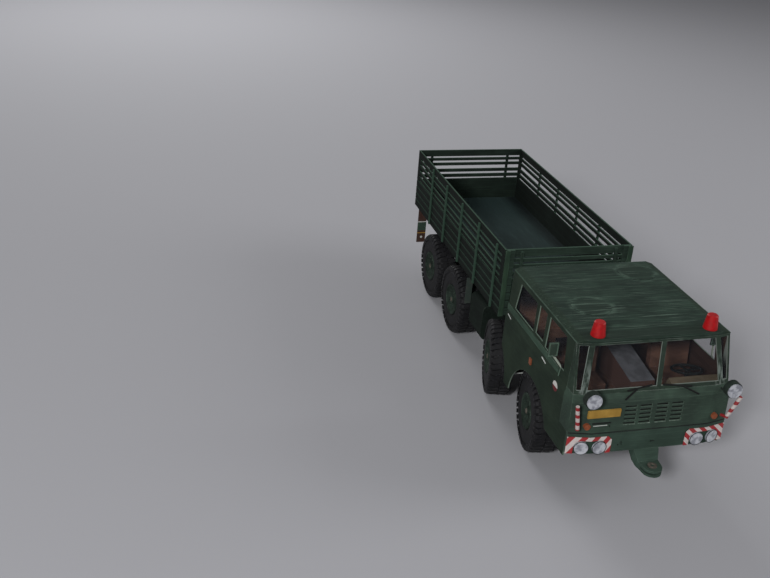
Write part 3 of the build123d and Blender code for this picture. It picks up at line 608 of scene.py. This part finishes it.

# A dark green plate behind the headlamps as painted shade between the lamps, and a rim round each. The outer
# lamp is turned with the slanting corner.
headlamps = {"recess": (20.9, 35.7, 28.9, 35.2), "recessThick": 0.1, "places": ((24.2, 0), (32.4, 1)),
             "z": 32.1, "rimInner": 3.15, "rimOuter": 3.38, "rimThick": 0.2, "rimProud": 0.85}
mesh = bmesh.new()
y0, y1, z0, z1 = headlamps["recess"]
addFrontPlate(mesh, y0, y1, z0, z1, headlamps["recessThick"])
addFrontPlate(mesh, -y1, -y0, z0, z1, headlamps["recessThick"])
newPiece("lampRecesses", mesh, "recess")
mesh = bmesh.new()
slant = math.atan(front["cornerBack"] / front["cornerWidth"])
for y, turned in headlamps["places"]:
    for side in (1, -1):
        axis = Vector((math.cos(slant * turned), side * math.sin(slant * turned), 0))
        centre = Vector(frontPoint(side * y, headlamps["z"])) + axis * headlamps["rimProud"]
        addRing(mesh, centre, axis, headlamps["rimInner"], headlamps["rimOuter"], headlamps["rimThick"])
newPiece("lampRims", mesh, "spotShell")

# Light strip along each side under the windows
belt = {"start": sideLow.x, "end": 106.0, "low": (38.17, 58.2), "high": (38.06, 61.3), "thick": 0.35}
mesh = bmesh.new()
addPlates(mesh, ((belt["start"], *belt["low"]), (belt["start"], *belt["high"]),
                 (belt["end"], *belt["high"]), (belt["end"], *belt["low"])), belt["thick"])
newPiece("beltStrips", mesh, "belt")

# Drip rail under the roof's edge
drip = {"start": sideLow.x + 0.4, "end": roofHigh.x - 1.6, "y": roofHigh.y - 0.05, "z": roofLow.z + 0.15,
        "radius": 0.32}
mesh = bmesh.new()
addBars(mesh, (drip["start"], drip["y"], drip["z"]), (drip["end"], drip["y"], drip["z"]), drip["radius"], 8)
newPiece("dripRails", mesh, "belt")

# Door handles: two thin bars on each side
handles = {"ends": (((44.0, 38.6, 56.1), (48.4, 38.6, 55.3)), ((88.4, 38.6, 56.5), (93.2, 38.6, 55.7))),
           "radius": 0.28}
mesh = bmesh.new()
for start, end in handles["ends"]:
    addBars(mesh, start, end, handles["radius"], 8)
newPiece("doorHandles", mesh, "paleEdge")

# A round two-tone mark on each side, left without a sign
roundMark = {"x": 106.6, "z": 51.9, "radius": 2.5, "thick": 0.06}
mesh = bmesh.new()
addBars(mesh, (roundMark["x"], sideHigh.y, roundMark["z"]),
        (roundMark["x"], sideHigh.y + roundMark["thick"], roundMark["z"]), roundMark["radius"], 28)
newPiece("sideMarks", mesh, "mark")

# Cut edge of the card liner behind each front wheel
linerEdge = {"x": 56.0, "y": (31.4, 38.3), "z": (27.8, 28.5), "thick": 0.1}
mesh = bmesh.new()
x, (y0, y1), (z0, z1) = linerEdge["x"], linerEdge["y"], linerEdge["z"]
addPlates(mesh, ((x, y0, z0), (x, y1, z0), (x, y1, z1), (x, y0, z1)), linerEdge["thick"])
newPiece("linerEdges", mesh, "paleEdge")

# Corner boards at the front of the bed
headLow, headHigh = corners("headboard")
cornerBoard = {"width": (33.3, 36.0), "thick": 0.5, "edge": 0.1}
mesh = bmesh.new()
for side in (1, -1):
    y0, y1 = sorted(side * y for y in cornerBoard["width"])
    addBlock(mesh, (headHigh.x, y0, headLow.z), (headHigh.x + cornerBoard["thick"], y1, headHigh.z),
             cornerBoard["edge"])
newPiece("cornerBoards", mesh, "post")

# Bands on the rear flaps: a white line, a green band, a yellow line and a pale reflector
flapBands = {"x": corners("mud_flaps")[0].x + 0.6, "y": (28.3, 34.1), "thick": 0.05,
             "bands": (((33.3, 33.9), "paleEdge"), ((27.4, 33.2), "belt"), ((25.3, 25.9), "plate")),
             "reflector": (31.2, 22.6), "reflectorRadius": 0.8, "reflectorThick": 0.2}
x, (y0, y1) = flapBands["x"], flapBands["y"]
for (z0, z1), paint in flapBands["bands"]:
    mesh = bmesh.new()
    addPlates(mesh, ((x, y0, z0), (x, y1, z0), (x, y1, z1), (x, y0, z1)), flapBands["thick"])
    newPiece("flapBand" + str(round(z0)), mesh, paint)
mesh = bmesh.new()
addBars(mesh, (x, *flapBands["reflector"]), (x + flapBands["reflectorThick"], *flapBands["reflector"]),
        flapBands["reflectorRadius"], 16)
newPiece("flapReflectors", mesh, "paleEdge")

# Worn collar round the hitch's pin bore
collar = {"fromTip": 4.5, "jawTop": 24.4, "inner": 0.95, "outer": 2.1, "height": 0.5}
mesh = bmesh.new()
addRing(mesh, Vector((corners("tow_hitch")[1].x - collar["fromTip"], 0, collar["jawTop"])), (0, 0, 1),
        collar["inner"], collar["outer"], collar["height"], 24)
newPiece("hitchCollar", mesh, "boss")

# Round hatch covers of thin card on the roof
mesh = bmesh.new()
for x, y in hatches["centres"]:
    addBar(mesh, (x, y, roofHigh.z), (x, y, roofHigh.z + hatches["height"]), hatches["radius"], 48)
newPiece("roofHatches", mesh, "hatch")

# Raised edge round each mirror's back, and a second arm down to the belt
mirror = {"y": (38.7, 43.2), "z": (65.6, 72.4), "edge": 0.55, "proud": 0.12,
          "arm": ((107.5, 38.2, 61.9), (107.1, 38.5, 57.6)), "armRadius": 0.28}
mesh = bmesh.new()
(y0, y1), (z0, z1), edge = mirror["y"], mirror["z"], mirror["edge"]
backX = max(v.co.x / mm for v in nodes["mirrors"].data.vertices if v.co.z / mm > z1 - 0.1)
frameBars = ((y0, y1, z0, z0 + edge), (y0, y1, z1 - edge, z1), (y0, y0 + edge, z0 + edge, z1 - edge),
             (y1 - edge, y1, z0 + edge, z1 - edge))
for side in (1, -1):
    for ya, yb, za, zb in frameBars:
        ya, yb = sorted((side * ya, side * yb))
        addBlock(mesh, (backX, ya, za), (backX + mirror["proud"], yb, zb))
addBars(mesh, *mirror["arm"], mirror["armRadius"], 8)
newPiece("mirrorEdges", mesh, "mirrorEdge")

# Tyre: its half outline as radius and distance from the middle, and the lugs' stations from the middle to
# the shoulder as distance, top radius, foot radius and lead of a lug, all in millimetres but the lead
tyre = {"width": 12.4, "steps": 76, "lugs": 38, "share": 0.6, "footShare": 0.74,
        "half": ((8.98, 5.3), (9.5, 5.65), (11.5, 5.95), (15.5, 5.9), (17.6, 5.4), (18.9, 4.5),
                 (19.35, 3.2), (19.45, 1.2)),
        "stations": ((0.35, 20.2, 19.2, 0.0), (2.6, 20.2, 19.1, 0.35), (4.7, 20.2, 18.8, 0.55),
                     (5.8, 19.55, 18.0, 0.62), (6.2, 18.1, 17.2, 0.62), (6.1, 16.4, 16.3, 0.62))}
# Nuts, a rim edge and a cap on each hub, the cap pale as a painted highlight, their depths measured in from
# the tyre's outer face
wheel = {"nuts": 8, "nutCircle": 5.3, "nutRadius": 0.5, "nutDepth": (1.55, 0.8), "rim": (8.1, 8.95),
         "rimDepth": 0.42, "rimThick": 0.3, "cap": (1.5, 1.0), "capDepth": (0.62, 0.2)}


def addTyre(mesh, middle, out, up, sideways):
    def point(radius, turn, height):
        return (middle + (up * math.cos(turn) + sideways * math.sin(turn)) * radius + out * height) * mm

    outline = list(tyre["half"]) + [(r, -h) for r, h in reversed(tyre["half"])]
    verts = [mesh.verts.new(point(r, 0, h)) for r, h in outline]
    edges = [mesh.edges.new((a, b)) for a, b in zip(verts, verts[1:] + verts[:1])]
    bmesh.ops.spin(mesh, geom=verts + edges, cent=middle * mm, axis=out, angle=math.tau,
                   steps=tyre["steps"], use_merge=True)
    step = math.tau / tyre["lugs"]
    wide, narrow = tyre["footShare"] * step / 2, tyre["share"] * step / 2
    for side in (1, -1):
        for k in range(tyre["lugs"]):
            rows = []
            for h, top, foot, lead in tyre["stations"]:
                turn = math.pi + step * (k + (0.25 - lead / 2) * side)
                section = ((foot, -wide), (top, -narrow), (top, narrow), (foot, wide))
                rows.append([mesh.verts.new(point(r, turn + w, side * h)) for r, w in section])
            for a, b in zip(rows[:-1], rows[1:]):
                for i in range(4):
                    mesh.faces.new((a[i], a[(i + 1) % 4], b[(i + 1) % 4], b[i]))
            mesh.faces.new(reversed(rows[0]))
            mesh.faces.new(rows[-1])


for joint in frame["joints"]:
    if not joint["name"].startswith("wheel_"):
        continue
    _, number, hand, _ = joint["name"].split("_")
    label, body = number + hand.capitalize(), "wheel_" + number + "_" + hand
    centre = Vector(joint["pos_m"]) / mm
    out = Vector(joint["axis"]).normalized() * (1 if hand == "left" else -1)
    cadTyre = "tyre_" + number + "_" + hand
    face = centre + out * max((v.co / mm - centre).dot(out) for v in nodes[cadTyre].data.vertices)
    up = Vector((0, 0, 1))
    sideways = out.cross(up)
    mesh = bmesh.new()
    addTyre(mesh, face - out * tyre["width"] / 2, out, up, sideways)
    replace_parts(newPiece("tyre" + label, mesh, "tyre", body), cadTyre)
    mesh = bmesh.new()
    for k in range(wheel["nuts"]):
        turn = math.tau * (k + 0.5) / wheel["nuts"]
        nut = face + (up * math.cos(turn) + sideways * math.sin(turn)) * wheel["nutCircle"]
        addBar(mesh, nut - out * wheel["nutDepth"][0], nut - out * wheel["nutDepth"][1],
               wheel["nutRadius"], 6)
    addRing(mesh, face - out * wheel["rimDepth"], out, *wheel["rim"], wheel["rimThick"], 36)
    newPiece("hubTrim" + label, mesh, "hub", body)
    # Pale cap at the hub's middle: a painted highlight
    mesh = bmesh.new()
    addBar(mesh, face - out * wheel["capDepth"][0], face - out * wheel["capDepth"][1], wheel["cap"][0],
           16, wheel["cap"][1])
    newPiece("hubCap" + label, mesh, "boss", body)
print("trims added")

# Camera: where the photograph was taken from, in the truck's frame
camera = {"place": (451.2, -219.39, 277.8), "yaw": 164.19, "pitch": -25.77, "roll": 4.24,
          "lens": 45.73, "sensor": 36.0}
yaw, pitch, roll = (math.radians(camera[key]) for key in ("yaw", "pitch", "roll"))
forward = Vector((math.cos(pitch) * math.cos(yaw), math.cos(pitch) * math.sin(yaw), math.sin(pitch)))
right = forward.cross(Vector((0, 0, 1))).normalized()
up = right.cross(forward)
rightRolled = math.cos(roll) * right + math.sin(roll) * up
upRolled = -math.sin(roll) * right + math.cos(roll) * up
cameraData = bpy.data.cameras.new("camera")
cameraData.lens = camera["lens"]
cameraData.sensor_width = camera["sensor"]
cameraData.clip_start = 0.01
cameraObject = bpy.data.objects.new("camera", cameraData)
axes = Matrix((rightRolled, upRolled, -forward)).transposed().to_4x4()
cameraObject.matrix_world = Matrix.Translation(Vector(camera["place"]) * mm) @ axes
bpy.context.scene.collection.objects.link(cameraObject)
bpy.context.scene.camera = cameraObject

# Soft studio light: the key left of the camera and a little above it, a fill on the other side, a light
# from behind and an even world. Each has its place and size in metres and its power in watts.
lights = {"keyLight": ((0.95, -0.78, 0.66), 0.2, 16.0), "fillLight": ((0.3, 1.1, 0.6), 0.7, 8.5),
          "backLight": ((-1.15, -0.2, 0.7), 0.7, 9.5)}
for name, (place, size, power) in lights.items():
    lightData = bpy.data.lights.new(name, "AREA")
    lightData.size = size
    lightData.energy = power
    light = bpy.data.objects.new(name, lightData)
    light.location = place
    light.rotation_euler = (-Vector(place)).to_track_quat("-Z", "Y").to_euler()
    bpy.context.scene.collection.objects.link(light)
surroundings = {"world": "#E6E6EA", "strength": 0.26, "floor": "#8E8E92", "floorHalf": 3.0}
world = bpy.data.worlds.new("world")
bpy.context.scene.world = world
world.use_nodes = True
background = world.node_tree.nodes["Background"]
background.inputs["Color"].default_value = linear(surroundings["world"])
background.inputs["Strength"].default_value = surroundings["strength"]
bpy.context.scene.view_settings.view_transform = "Standard"

# Pale matt floor that catches the shadow
floorMesh = bmesh.new()
bmesh.ops.create_grid(floorMesh, x_segments=1, y_segments=1, size=surroundings["floorHalf"])
floorData = bpy.data.meshes.new("floor")
floorMesh.to_mesh(floorData)
floorMesh.free()
floor = bpy.data.objects.new("floor", floorData)
bpy.context.scene.collection.objects.link(floor)
floor.data.materials.append(newMaterial("paleFloor", surroundings["floor"], 0.9, {})[0])
print("camera, lights and floor set")
